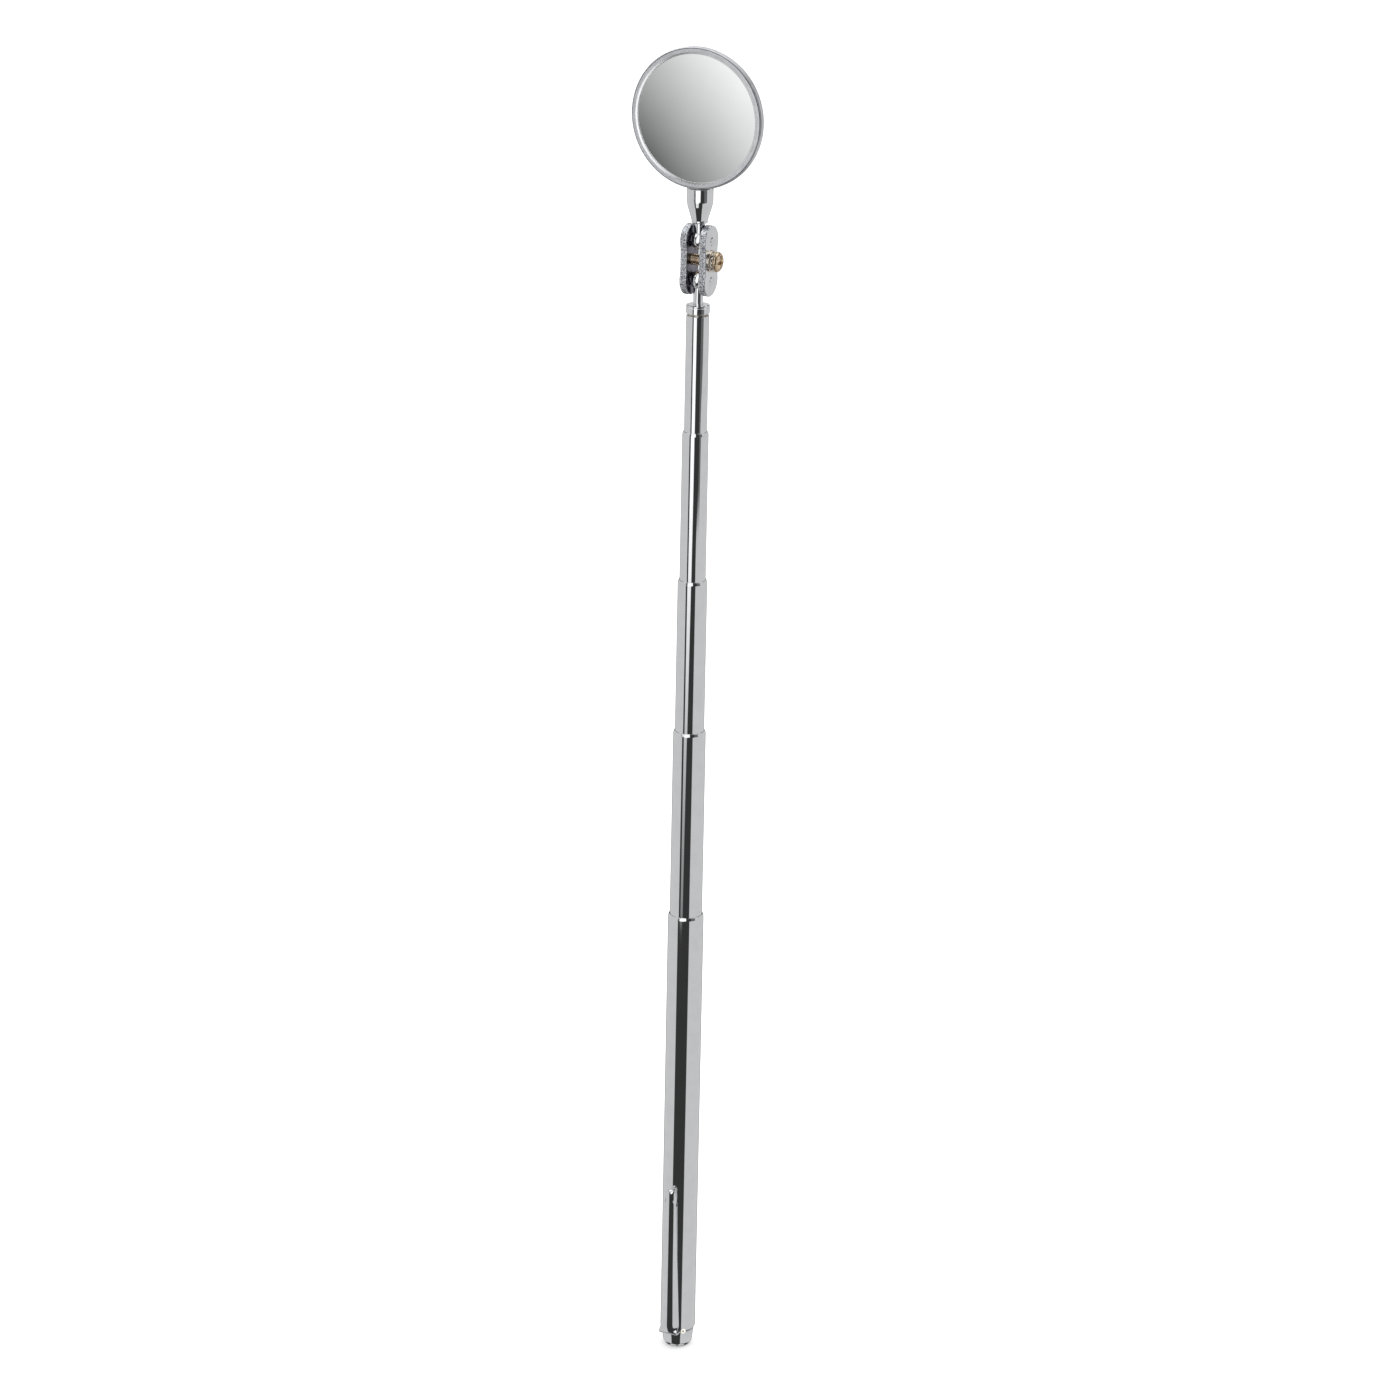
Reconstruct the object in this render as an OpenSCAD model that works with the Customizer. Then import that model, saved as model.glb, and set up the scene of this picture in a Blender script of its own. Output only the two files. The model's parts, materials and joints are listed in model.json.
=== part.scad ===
// Telescopic mirror on a pocket handle. Five drawn tubes slide one inside the
// next, a double ball clamp carries a round framed mirror, and a sprung clip
// holds the barrel in a pocket. The origin is the middle of the end cap's
// bottom face, +Z runs along the tubes to the mirror, and the mirror faces -Y.

/* [Tubes] */
// Outer diameter of the barrel, the widest tube
barrel_od = 8; // [7.5:0.1:9]
// How much narrower each tube is than the tube it slides in
od_step = 0.75; // [0.72:0.01:0.8]
// Wall thickness of all the tubes
tube_wall = 0.25; // [0.22:0.01:0.27]
// Height of the barrel's open top edge
barrel_top = 107; // [100:0.5:115]
// Length of the second tube that shows above the barrel
reach_2 = 43.6; // [5:0.1:75]
// Length of the third tube that shows
reach_3 = 35; // [5:0.1:75]
// Length of the fourth tube that shows
reach_4 = 33.7; // [5:0.1:75]
// Length of the fifth tube that shows, up to the collar
reach_5 = 25.9; // [5:0.1:75]
// Length of the friction sleeve on each sliding tube
sleeve_length = 6; // [4:0.5:10]

/* [End cap and clip] */
// Height of the end cap below the clip ring
cap_height = 4.1; // [3:0.1:6]
// Diameter of the cap at its bottom
cap_bottom_d = 6.5; // [5.5:0.1:7]
// Height of the top of the clip's strip above the cap's bottom
clip_tip_z = 39.8; // [30:0.1:50]
// Width of the clip at its root
clip_root_w = 4.5; // [3.5:0.1:5]
// Width of the clip at its tip
clip_tip_w = 2.2; // [1.8:0.1:2.6]
// Diameter of the long bead at the clip's tip
clip_bead_d = 2; // [1.8:0.1:2.4]
// Length of the bead between the centres of its round ends
clip_bead_h = 3.6; // [2:0.1:5]

/* [Ball clamp] */
// Diameter of both balls
ball_d = 4; // [3.6:0.1:4.2]
// Distance between the two ball centres
ball_spacing = 8.7; // [8.4:0.1:10]
// Height of the lower ball's centre above the collar's top face
lower_ball_rise = 5.4; // [5.3:0.1:7]
// Clear gap between the two clamp plates
plate_gap = 2.9; // [2.7:0.1:3.2]
// Thickness of each clamp plate
plate_t = 1.6; // [1.2:0.1:1.9]
// Radius of the plates' round ends
lobe_r = 3.4; // [3.1:0.1:3.6]
// Width of the plates at their waist, beside the screw
waist_w = 6.2; // [5.4:0.1:6.4]

/* [Mirror head] */
// Outer diameter of the mirror's frame
frame_d = 30.5; // [28:0.1:34]
// Width of the frame's bevelled front lip
bezel_w = 1.5; // [1.2:0.1:1.9]
// Distance from the mirror's centre to the upper ball
mirror_reach = 26.8; // [26:0.1:32]
// Diameter of the neck's upper, straight length
neck_d = 5.7; // [5:0.1:6.2]

/* [Hidden] */
$fn = 96;
eps = 0.01;

// Radial clearances of the sliding and turning fits
sleeve_play = 0.03;
mouth_play = 0.04;
pivot_play = 0.04;
seat_play = 0.03;

chrome = "#c9cdd2";
brass = "#b8924f";
bronze = "#9a6b3f";
felt = "#3a3d40";
silvered = "#aeb8c2";

// Tubes: 1 is the barrel and 5 is the thinnest
last = 5;
reach = [0, 0, reach_2, reach_3, reach_4, reach_5];
mouth_roll = 0.6;
foot_rim = 0.5;
foot_step = 0.55;
stop_gap = 0.1;
closed_step = 1.5;
closed_collar_gap = 1;

// Levels at the lower end of the barrel
ring_t = 0.4;
barrel_bottom = cap_height + ring_t;
bush_top = barrel_bottom + 5.5;
stud_r = 3.2;

function tube_r(n) = (barrel_od - od_step * (n - 1)) / 2;
function bore_r(n) = tube_r(n) - tube_wall;
function tube_top(n) = n == 1 ? barrel_top : tube_top(n - 1) + reach[n];
function closed_top(n) = n == 1 ? barrel_top
  : closed_top(n - 1) + (n == last ? closed_collar_gap : closed_step);
function closed_bottom(n) = n == 2 ? bush_top + stop_gap
  : closed_bottom(n - 1) + foot_rim + stop_gap;
function tube_bottom(n) = n == 1 ? barrel_bottom
  : tube_top(n) - (closed_top(n) - closed_bottom(n));

// Collar and ball studs
groove_h = 0.4;
collar_bottom = tube_top(last) + groove_h;
collar_h = 2;
collar_top = collar_bottom + collar_h;
collar_r = 2.575;
collar_plug = 5;
lower_rod_r = 1.075;
upper_rod_r = 1.2;
lower_ball_z = collar_top + lower_ball_rise;
upper_ball_z = lower_ball_z + ball_spacing;
screw_z = (lower_ball_z + upper_ball_z) / 2;

// Clamp screw and its washers, by distance from the middle plane
plate_out = plate_gap / 2 + plate_t;
screw_r = 1.25;
flat_washer_t = 0.4;
spring_washer_t = 0.8;
head_under = plate_out + flat_washer_t + spring_washer_t + 0.02;
head_r = 2.2;
head_rim = 0.3;
head_h = 1.15;
recess = [0.8, 0.6, 2.6];

// Neck and mirror
mirror_z = upper_ball_z + mirror_reach;
frame_r = frame_d / 2;
// Depths of the frame and what it holds, measured out of the mirror's face
frame_front = 3.05;
lip_front = 2.8;
glass_front = 2.65;
frame_seam = 1.75;
pad_front = 1.95;
cup_floor = 1.35;
frame_back = 0.95;
rebate_r = frame_r - 0.8;
neck_bottom = upper_ball_z + 3.8;
neck_lip_r = 1.75;
neck_flare_from = neck_bottom + 0.5;
neck_flare_to = neck_bottom + 4.6;
neck_top = mirror_z - frame_r - 0.15;
neck_socket = 5.5;
tongue_top = neck_top + 8;
rivet_z = neck_top + 5.2;
rivet_r = 0.9;

// Clip
clip_r = 5.3;
clip_t = 0.5;
clip_roll_r = 0.35;
clip_hinge_z = cap_height + clip_roll_r;
clip_bead_y = barrel_od / 2 + clip_bead_d / 2 + 0.05;

// Turns a shape drawn along +Z so that it points along +X
module along_x(z) translate([0, 0, z]) rotate([0, 90, 0]) children();

// Turns a shape drawn along +Z so that it points out of the mirror's face
module from_mirror() translate([0, 0, mirror_z]) rotate([90, 0, 0]) children();

module drawn_tube(n) {
  low = tube_bottom(n);
  high = tube_top(n);
  mouth = n < last ? tube_r(n + 1) + mouth_play : 0;
  rolled = [
    [tube_r(n), high - mouth_roll], [mouth + 0.1, high], [mouth, high],
    [mouth, high - 0.75 * mouth_roll], [bore_r(n), high - 1.25 * mouth_roll]
  ];
  plain = [[tube_r(n), high], [bore_r(n), high]];
  footed = [
    [bore_r(n), low + foot_rim], [tube_r(n) - foot_step, low + foot_rim],
    [tube_r(n) - foot_step, low]
  ];
  color(chrome) rotate_extrude() polygon(concat(
    [[tube_r(n), low]],
    n < last ? rolled : plain,
    n > 1 && n < last ? footed : [[bore_r(n), low]]
  ));
}

module barrel_tube() { drawn_tube(1); }
module tube_2() { drawn_tube(2); }
module tube_3() { drawn_tube(3); }
module tube_4() { drawn_tube(4); }
module tube_5() { drawn_tube(5); }

// Split spring-bronze sleeve that rubs in the bore of the next wider tube
module friction_sleeve(n) {
  slit_w = 0.6;
  color(bronze) translate([0, 0, tube_bottom(n)]) difference() {
    cylinder(h = sleeve_length, r = bore_r(n - 1) - sleeve_play);
    translate([0, 0, -1]) cylinder(h = sleeve_length + 2, r = tube_r(n));
    rotate(90 * n) translate([0, -slit_w / 2, -1])
      cube([barrel_od, slit_w, sleeve_length + 2]);
  }
}

module sleeve_2() { friction_sleeve(2); }
module sleeve_3() { friction_sleeve(3); }
module sleeve_4() { friction_sleeve(4); }
module sleeve_5() { friction_sleeve(5); }

module barrel_bush() {
  color(brass) translate([0, 0, barrel_bottom]) difference() {
    cylinder(h = bush_top - barrel_bottom, r = bore_r(1));
    translate([0, 0, -1]) cylinder(h = bush_top, r = stud_r);
  }
}

module end_cap() {
  round_r = 0.8;
  low_r = cap_bottom_d / 2;
  high_r = bore_r(1) - 0.05;
  color(chrome) rotate_extrude() polygon(concat(
    [[0, 0]],
    [for (a = [0:15:90])
      [low_r - round_r + round_r * sin(a), round_r - round_r * cos(a)]],
    [[high_r, cap_height], [stud_r, cap_height], [stud_r, bush_top - 1],
     [0, bush_top - 1]]
  ));
}

// Ring trapped between barrel and cap, with the tab that carries the clip
module clip_ring() {
  tab_end = clip_r - clip_roll_r - 0.03;
  color(chrome) translate([0, 0, cap_height]) difference() {
    union() {
      cylinder(h = ring_t, r = bore_r(1) + 0.1);
      translate([-clip_root_w / 2, -tab_end, 0])
        cube([clip_root_w, tab_end, ring_t]);
    }
    translate([0, 0, -1]) cylinder(h = ring_t + 2, r = stud_r);
  }
}

// Arched spring strip that tapers from its rolled root to its beaded tip
module pocket_clip() {
  strip_low = clip_hinge_z + 0.2;
  strip_h = clip_tip_z - strip_low;
  color(chrome) union() {
    translate([0, 0, strip_low]) intersection() {
      difference() {
        cylinder(h = strip_h, r = clip_r + clip_t / 2);
        translate([0, 0, -1]) cylinder(h = strip_h + 2, r = clip_r - clip_t / 2);
      }
      rotate([90, 0, 0]) linear_extrude(height = 2 * clip_r) polygon([
        [-clip_root_w / 2, -1], [clip_root_w / 2, -1],
        [clip_tip_w / 2, strip_h + 1], [-clip_tip_w / 2, strip_h + 1]
      ]);
    }
    translate([-clip_root_w / 2, -clip_r, clip_hinge_z]) rotate([0, 90, 0])
      cylinder(h = clip_root_w, r = clip_roll_r);
    translate([0, -clip_bead_y, clip_tip_z - clip_bead_h])
      rotate_extrude() polygon(concat(
        [for (a = [-90:15:0]) clip_bead_d / 2 * [cos(a), sin(a)]],
        [for (a = [0:15:90])
          clip_bead_d / 2 * [cos(a), sin(a)] + [0, clip_bead_h]]
      ));
  }
}

// Plug in the thinnest tube, with a narrow brass groove under the chromed rim
module end_collar() {
  chamfer = 0.2;
  color(brass) rotate_extrude() polygon([
    [lower_rod_r + pivot_play, tube_top(last) - collar_plug],
    [bore_r(last), tube_top(last) - collar_plug],
    [bore_r(last), tube_top(last)],
    [bore_r(last) + 0.05, tube_top(last)],
    [bore_r(last) + 0.05, collar_bottom],
    [collar_r, collar_bottom],
    [collar_r, collar_top - chamfer],
    [collar_r - chamfer, collar_top],
    [lower_rod_r + pivot_play, collar_top]
  ]);
}

module lower_ball_stud() {
  foot_h = 1;
  foot_r = 1.7;
  foot_top = tube_top(last) - collar_plug - 0.1;
  color(chrome) union() {
    translate([0, 0, foot_top - eps])
      cylinder(h = lower_ball_z - foot_top + eps, r = lower_rod_r);
    translate([0, 0, foot_top - foot_h]) cylinder(h = foot_h, r = foot_r);
    translate([0, 0, lower_ball_z]) sphere(d = ball_d);
  }
}

module upper_ball_stud() {
  rod_top = neck_bottom + neck_socket - 0.1;
  color(chrome) union() {
    translate([0, 0, upper_ball_z])
      cylinder(h = rod_top - upper_ball_z, r = upper_rod_r);
    translate([0, 0, upper_ball_z]) sphere(d = ball_d);
  }
}

// Oblong plate on the -X side, with a blister over each ball seat
module clamp_plate(hole_r) {
  blister_r = 2.3;
  blister_rise = 0.45;
  color(chrome) difference() {
    union() {
      translate([-plate_out, 0, 0])
        rotate([90, 0, 90]) linear_extrude(height = plate_t) union() {
          translate([0, lower_ball_z]) circle(r = lobe_r);
          translate([0, upper_ball_z]) circle(r = lobe_r);
          translate([-waist_w / 2, lower_ball_z])
            square([waist_w, ball_spacing]);
        }
      for (z = [lower_ball_z, upper_ball_z])
        translate([blister_r - plate_out - blister_rise, 0, z])
          sphere(r = blister_r);
    }
    translate([-plate_gap / 2, -10, 0]) cube([20, 20, 2 * mirror_z]);
    for (z = [lower_ball_z, upper_ball_z])
      translate([0, 0, z]) sphere(r = ball_d / 2 + seat_play);
    along_x(screw_z) translate([0, 0, -10]) cylinder(h = 20, r = hole_r);
  }
}

module clamp_plate_left() { clamp_plate(screw_r + seat_play); }
module clamp_plate_right() {
  mirror([1, 0, 0]) clamp_plate(screw_r + pivot_play);
}

module flat_washer() {
  color(chrome) along_x(screw_z) translate([0, 0, plate_out]) difference() {
    cylinder(h = flat_washer_t, r = head_r + 0.25);
    translate([0, 0, -1]) cylinder(h = 3, r = screw_r + pivot_play);
  }
}

module spring_washer() {
  slit_w = 0.35;
  color(brass) along_x(screw_z)
    translate([0, 0, plate_out + flat_washer_t]) difference() {
      cylinder(h = spring_washer_t, r = head_r - 0.05);
      translate([0, 0, -1]) cylinder(h = 3, r = screw_r + pivot_play);
      rotate([25, 0, 60]) translate([0, -slit_w / 2, -2])
        cube([4, slit_w, 5]);
    }
}

// Domed head with a cross recess; the shank screws into the left plate
module clamp_screw() {
  dome_rise = head_h - head_rim;
  dome_r = (head_r * head_r + dome_rise * dome_rise) / (2 * dome_rise);
  shank_end = -plate_out - 0.2;
  color(brass) along_x(screw_z) difference() {
    union() {
      translate([0, 0, shank_end])
        cylinder(h = head_under - shank_end + eps, r = screw_r);
      intersection() {
        translate([0, 0, head_under]) cylinder(h = head_h, r = head_r);
        translate([0, 0, head_under + head_h - dome_r]) sphere(r = dome_r);
      }
    }
    for (turn = [0, 90])
      rotate(turn) translate([-recess[2] / 2, -recess[1] / 2,
          head_under + head_h - recess[0]])
        cube([recess[2], recess[1], recess[0] + 1]);
  }
}

// Flared neck with a socket for the ball stud and a tongue behind the frame
module mirror_neck() {
  neck_r = neck_d / 2;
  socket_r = upper_rod_r + pivot_play;
  socket_top = neck_bottom + neck_socket;
  flare = neck_flare_to - neck_flare_from;
  color(chrome) difference() {
    union() {
      rotate_extrude() polygon(concat(
        [[socket_r, neck_bottom], [neck_lip_r, neck_bottom]],
        [for (t = [0:0.1:1])
          [neck_lip_r + (neck_r - neck_lip_r) * (1 - cos(180 * t)) / 2,
           neck_flare_from + flare * t]],
        [[neck_r, neck_top], [0, neck_top], [0, socket_top],
         [socket_r, socket_top]]
      ));
      intersection() {
        translate([0, 0, neck_top - eps])
          cylinder(h = tongue_top - neck_top + eps, r = neck_r);
        translate([-neck_r, -frame_back, neck_top - 1])
          cube([2 * neck_r, 2 * neck_r, tongue_top - neck_top + 2]);
      }
    }
    translate([0, 2 * neck_r, rivet_z]) rotate([90, 0, 0])
      cylinder(h = 4 * neck_r, r = rivet_r);
  }
}

module neck_rivet() {
  rivet_end = 0.05 - cup_floor;
  head_y = neck_d / 2;
  color(chrome) translate([0, 0, rivet_z]) rotate([-90, 0, 0]) union() {
    translate([0, 0, rivet_end]) cylinder(h = head_y - rivet_end, r = rivet_r);
    translate([0, 0, head_y]) cylinder(h = 0.3, r1 = 1.5, r2 = 1.1);
  }
}

// Front ring of the frame, with a bevel that slopes in to the glass
module mirror_bezel() {
  lip_r = frame_r - bezel_w;
  color(chrome) from_mirror() rotate_extrude() polygon([
    [rebate_r, frame_seam], [frame_r, frame_seam],
    [frame_r, frame_front - 0.3], [frame_r - 0.3, frame_front],
    [lip_r + 0.65, frame_front], [lip_r, lip_front],
    [lip_r, glass_front], [rebate_r, glass_front]
  ]);
}

// Shallow cup that closes the frame from behind
module mirror_back() {
  cup_r = frame_r - 0.05;
  color(chrome) difference() {
    from_mirror() rotate_extrude() polygon([
      [0, frame_back], [cup_r - 0.4, frame_back],
      [cup_r, frame_back + 0.4], [cup_r, frame_seam],
      [rebate_r, frame_seam], [rebate_r, cup_floor], [0, cup_floor]
    ]);
    translate([0, 5, rivet_z]) rotate([90, 0, 0]) cylinder(h = 10, r = rivet_r);
  }
}

module backing_pad() {
  color(felt) from_mirror() translate([0, 0, cup_floor])
    cylinder(h = pad_front - cup_floor, r = rebate_r - 0.1);
}

module mirror_glass() {
  color(silvered) from_mirror() translate([0, 0, pad_front])
    cylinder(h = glass_front - pad_front, r = rebate_r - 0.05);
}

barrel_tube();
barrel_bush();
end_cap();
clip_ring();
pocket_clip();
tube_2();
tube_3();
tube_4();
tube_5();
sleeve_2();
sleeve_3();
sleeve_4();
sleeve_5();
end_collar();
lower_ball_stud();
clamp_plate_left();
clamp_plate_right();
flat_washer();
spring_washer();
clamp_screw();
upper_ball_stud();
mirror_neck();
neck_rivet();
mirror_bezel();
mirror_back();
backing_pad();
mirror_glass();
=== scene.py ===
# %% [markdown]
# # A telescopic mirror with a pocket clip
#
# The object is a pen-sized tool: five chromed tubes slide into each other, a double ball
# clamp holds a round mirror at the thin end, and a spring clip keeps the thick end in a
# pocket. Almost all of it is polished chrome. Chrome has no colour of its own, so the lesson
# is about two things: meshes whose surfaces curve exactly, and a studio worth reflecting.
#
# The engineering model is the frame. It fixes every size, place and joint, and each fine
# mesh below takes its place from it.

# %% Load the frame
import json
import math

import bpy
from mathutils import Matrix, Vector


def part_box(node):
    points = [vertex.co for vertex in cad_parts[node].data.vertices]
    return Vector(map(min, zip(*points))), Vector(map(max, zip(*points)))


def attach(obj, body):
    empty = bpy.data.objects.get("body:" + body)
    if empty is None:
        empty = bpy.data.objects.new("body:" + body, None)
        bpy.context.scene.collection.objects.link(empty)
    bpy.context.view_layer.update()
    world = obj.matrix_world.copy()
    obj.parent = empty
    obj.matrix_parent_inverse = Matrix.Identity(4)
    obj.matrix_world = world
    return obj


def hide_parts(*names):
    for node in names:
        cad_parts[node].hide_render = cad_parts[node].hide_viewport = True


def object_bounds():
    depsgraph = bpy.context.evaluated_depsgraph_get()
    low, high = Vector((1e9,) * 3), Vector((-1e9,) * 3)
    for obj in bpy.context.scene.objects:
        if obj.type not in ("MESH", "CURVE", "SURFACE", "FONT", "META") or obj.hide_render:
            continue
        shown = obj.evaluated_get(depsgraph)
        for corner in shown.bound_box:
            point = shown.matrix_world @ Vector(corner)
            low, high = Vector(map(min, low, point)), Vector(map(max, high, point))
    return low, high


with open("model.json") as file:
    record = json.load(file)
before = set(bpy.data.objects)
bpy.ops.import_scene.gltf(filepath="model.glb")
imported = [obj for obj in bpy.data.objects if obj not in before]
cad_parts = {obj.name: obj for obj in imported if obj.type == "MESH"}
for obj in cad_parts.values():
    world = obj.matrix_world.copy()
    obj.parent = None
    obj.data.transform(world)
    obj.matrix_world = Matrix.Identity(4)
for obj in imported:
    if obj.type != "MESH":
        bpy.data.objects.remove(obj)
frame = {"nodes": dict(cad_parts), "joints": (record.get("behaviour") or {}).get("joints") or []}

cad_low, cad_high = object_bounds()
MM = 0.001
FULL_TURN = 2 * math.pi
print("height in mm:", round((cad_high.z - cad_low.z) / MM, 2))


# %% [markdown]
# ## Reading sizes
#
# The frame gives the two corners of each part's box. For a turned part that is all it takes:
# half the box's width is the radius, and the top and bottom are its two ends.

# %% Measure the frame's parts
def span(node):
    low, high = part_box(node)
    return low / MM, high / MM


def radius_of(node):
    low, high = span(node)
    return (high.x - low.x) / 2


TUBES = ["barrel_tube", "tube_2", "tube_3", "tube_4", "tube_5"]
TUBE_BODIES = ["barrel", "second_tube", "third_tube", "fourth_tube", "fifth_tube"]
for tube in TUBES:
    print(tube, "radius", round(radius_of(tube), 3), "top", round(span(tube)[1].z, 2))


# %% [markdown]
# ## Turned metal
#
# Tubes, studs, washers and the mirror's frame all come off a lathe. A primitive cylinder
# would have knife edges and would shade badly where its flat end meets the side, and chrome
# shows both at once. So each part starts as a half-section: a list of corners, each with its
# own fillet. The section is cut into runs, every run knows the true direction that its
# surface faces, and the runs are spun round the axis. The directions go into the mesh as
# custom normals, so a long straight tube reflects as a straight tube right up to its lip.

# %% Turn a half-section into runs
ARC_STEP = math.radians(8)
SOFT_CORNER = math.cos(math.radians(24))


def unit(x, y):
    length = math.hypot(x, y)
    return (x / length, y / length)


def turn_by(vector, angle):
    x, y = vector
    return (x * math.cos(angle) - y * math.sin(angle), x * math.sin(angle) + y * math.cos(angle))


def corner_runs(before, corner, after, fillet):
    """The short runs that round one corner, or none where the corner is sharp."""
    arriving = unit(corner[0] - before[0], corner[1] - before[1])
    leaving = unit(after[0] - corner[0], after[1] - corner[1])
    cross = arriving[0] * leaving[1] - arriving[1] * leaving[0]
    turn = math.atan2(cross, arriving[0] * leaving[0] + arriving[1] * leaving[1])
    if fillet <= 0 or abs(turn) < 0.01:
        return []
    setback = fillet * math.tan(abs(turn) / 2)
    side = 1 if turn > 0 else -1
    normal = (arriving[1], -arriving[0])
    start = (corner[0] - arriving[0] * setback, corner[1] - arriving[1] * setback)
    centre = (start[0] - normal[0] * fillet * side, start[1] - normal[1] * fillet * side)
    steps = max(3, math.ceil(abs(turn) / ARC_STEP))
    normals = [turn_by(normal, turn * step / steps) for step in range(steps + 1)]
    spots = [(centre[0] + side * fillet * n[0], centre[1] + side * fillet * n[1]) for n in normals]
    return [(spots[i], spots[i + 1], normals[i], normals[i + 1]) for i in range(steps)]


def section_runs(corners, closed):
    """Runs round a half-section, each as (start, end, normal at start, normal at end)."""
    count = len(corners)
    rounds = []
    for i, (radius, height, fillet) in enumerate(corners):
        inside = closed or 0 < i < count - 1
        before, after = corners[i - 1], corners[(i + 1) % count]
        rounds.append(corner_runs(before, (radius, height), after, fillet) if inside else [])
    runs = []
    for i in range(count if closed else count - 1):
        follower = (i + 1) % count
        start = rounds[i][-1][1] if rounds[i] else corners[i][:2]
        end = rounds[follower][0][0] if rounds[follower] else corners[follower][:2]
        if math.dist(start, end) > 1e-6:
            along = unit(end[0] - start[0], end[1] - start[1])
            normal = (along[1], -along[0])
            runs.append((start, end, normal, normal))
        runs += rounds[follower]
    return blend_soft_corners(runs, closed)


def blend_soft_corners(runs, closed):
    """Gives two runs that meet at a shallow angle one shared normal, as on a curve of short runs."""
    runs = [list(run) for run in runs]
    for i in range(0 if closed else 1, len(runs)):
        first, second = runs[i - 1][3], runs[i][2]
        if first[0] * second[0] + first[1] * second[1] > SOFT_CORNER:
            shared = unit(first[0] + second[0], first[1] + second[1])
            runs[i - 1][3] = runs[i][2] = shared
    return runs


def bow(centre_r, centre_z, radius, start, end, step=6):
    """Corners along a round stretch of a half-section, between two angles in degrees."""
    count = max(2, math.ceil(abs(end - start) / step))
    angles = [math.radians(start + (end - start) * i / count) for i in range(count + 1)]
    return [(centre_r + radius * math.cos(a), centre_z + radius * math.sin(a), 0) for a in angles]


# %% Spin the runs into a mesh
def turned(name, corners, place=Matrix.Identity(4), closed=True, sides=160):
    """A lathe part: corners are (radius, height, fillet) in millimetres, spun about place's Z."""
    runs = section_runs(corners, closed)
    rings = [run[0] for run in runs] + ([] if closed else [runs[-1][1]])
    spots, ring_spots = [], []
    for radius, height in rings:
        around = 1 if radius < 1e-6 else sides
        ring_spots.append([len(spots) + i for i in range(around)])
        for i in range(around):
            angle = FULL_TURN * i / sides
            spots.append(place @ Vector((radius * math.cos(angle), radius * math.sin(angle), height)))
    turning = place.to_3x3()
    faces, normals = [], []
    for index, (_, _, first, second) in enumerate(runs):
        low, high = ring_spots[index], ring_spots[(index + 1) % len(ring_spots)]
        for i in range(sides):
            j = (i + 1) % sides
            face = [(low, i, first), (low, j, first), (high, j, second), (high, i, second)]
            if len(low) == 1:
                face.pop(1)
            if len(high) == 1:
                face.pop(2)
            faces.append([ring[step % len(ring)] for ring, step, _ in face])
            for _, step, normal in face:
                angle = FULL_TURN * step / sides
                local = (normal[0] * math.cos(angle), normal[0] * math.sin(angle), normal[1])
                normals.append(turning @ Vector(local))
    mesh = bpy.data.meshes.new(name)
    mesh.from_pydata([spot * MM for spot in spots], [], faces)
    mesh.polygons.foreach_set("use_smooth", [True] * len(mesh.polygons))
    mesh.normals_split_custom_set([normal.normalized() for normal in normals])
    part = bpy.data.objects.new(name, mesh)
    bpy.context.scene.collection.objects.link(part)
    return part


# %% [markdown]
# ## Formed metal
#
# The clip, the clamp plates and the screw are not turned. For them a surface is laid down as
# a stack of closed loops, like the stations of a boat hull. Where a formula gives every
# point of every loop, a blister or a thread is just one more term in the formula.

# %% Skin a stack of loops
def skinned(name, loops, ends="capped", flip=False):
    """A mesh over closed loops of points; ends are capped, or joined to make a ring."""
    around = len(loops[0])
    spots = [Vector(spot) * MM for loop in loops for spot in loop]
    strips = len(loops) if ends == "joined" else len(loops) - 1
    faces = []
    for strip in range(strips):
        low, high = strip * around, ((strip + 1) % len(loops)) * around
        for i in range(around):
            j = (i + 1) % around
            faces.append([low + i, low + j, high + j, high + i])
    if ends == "capped":
        first, last = len(spots), len(spots) + 1
        for loop in (loops[0], loops[-1]):
            spots.append(sum((Vector(spot) for spot in loop), Vector()) / around * MM)
        top = (len(loops) - 1) * around
        for i in range(around):
            j = (i + 1) % around
            faces.append([first, j, i])
            faces.append([last, top + i, top + j])
    if flip:
        faces = [face[::-1] for face in faces]
    mesh = bpy.data.meshes.new(name)
    mesh.from_pydata(spots, [], faces)
    mesh.polygons.foreach_set("use_smooth", [True] * len(mesh.polygons))
    part = bpy.data.objects.new(name, mesh)
    bpy.context.scene.collection.objects.link(part)
    return part


# %% [markdown]
# ## Finishes
#
# Every metal here is a metallic Principled shader, and what tells one from another is small:
# its tone, how wide it smears a highlight, and what the surface carries. Plated drawn tube
# keeps faint lines along its length under the chrome, stamped edges stay grainy because
# nobody polishes them, and the brass of the screw has started to tarnish. All of it is made
# with noise, at sizes of a few hundredths of a millimetre up to a few millimetres, and the
# bump is kept to microns so that the reflections stay clean.

# %% Metals
def add_node(tree, kind, **settings):
    node = tree.nodes.new(kind)
    for key, value in settings.items():
        setattr(node, key, value)
    return node


def noise(tree, stretch, scale, detail=3.0):
    """Noise in the part's own millimetres, stretched along its axes."""
    place = add_node(tree, "ShaderNodeTexCoord")
    mapping = add_node(tree, "ShaderNodeMapping")
    mapping.inputs["Scale"].default_value = [scale * s / MM for s in stretch]
    grain = add_node(tree, "ShaderNodeTexNoise")
    grain.inputs["Scale"].default_value = 1.0
    grain.inputs["Detail"].default_value = detail
    tree.links.new(place.outputs["Object"], mapping.inputs["Vector"])
    tree.links.new(mapping.outputs["Vector"], grain.inputs["Vector"])
    return grain.outputs["Fac"]


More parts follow.
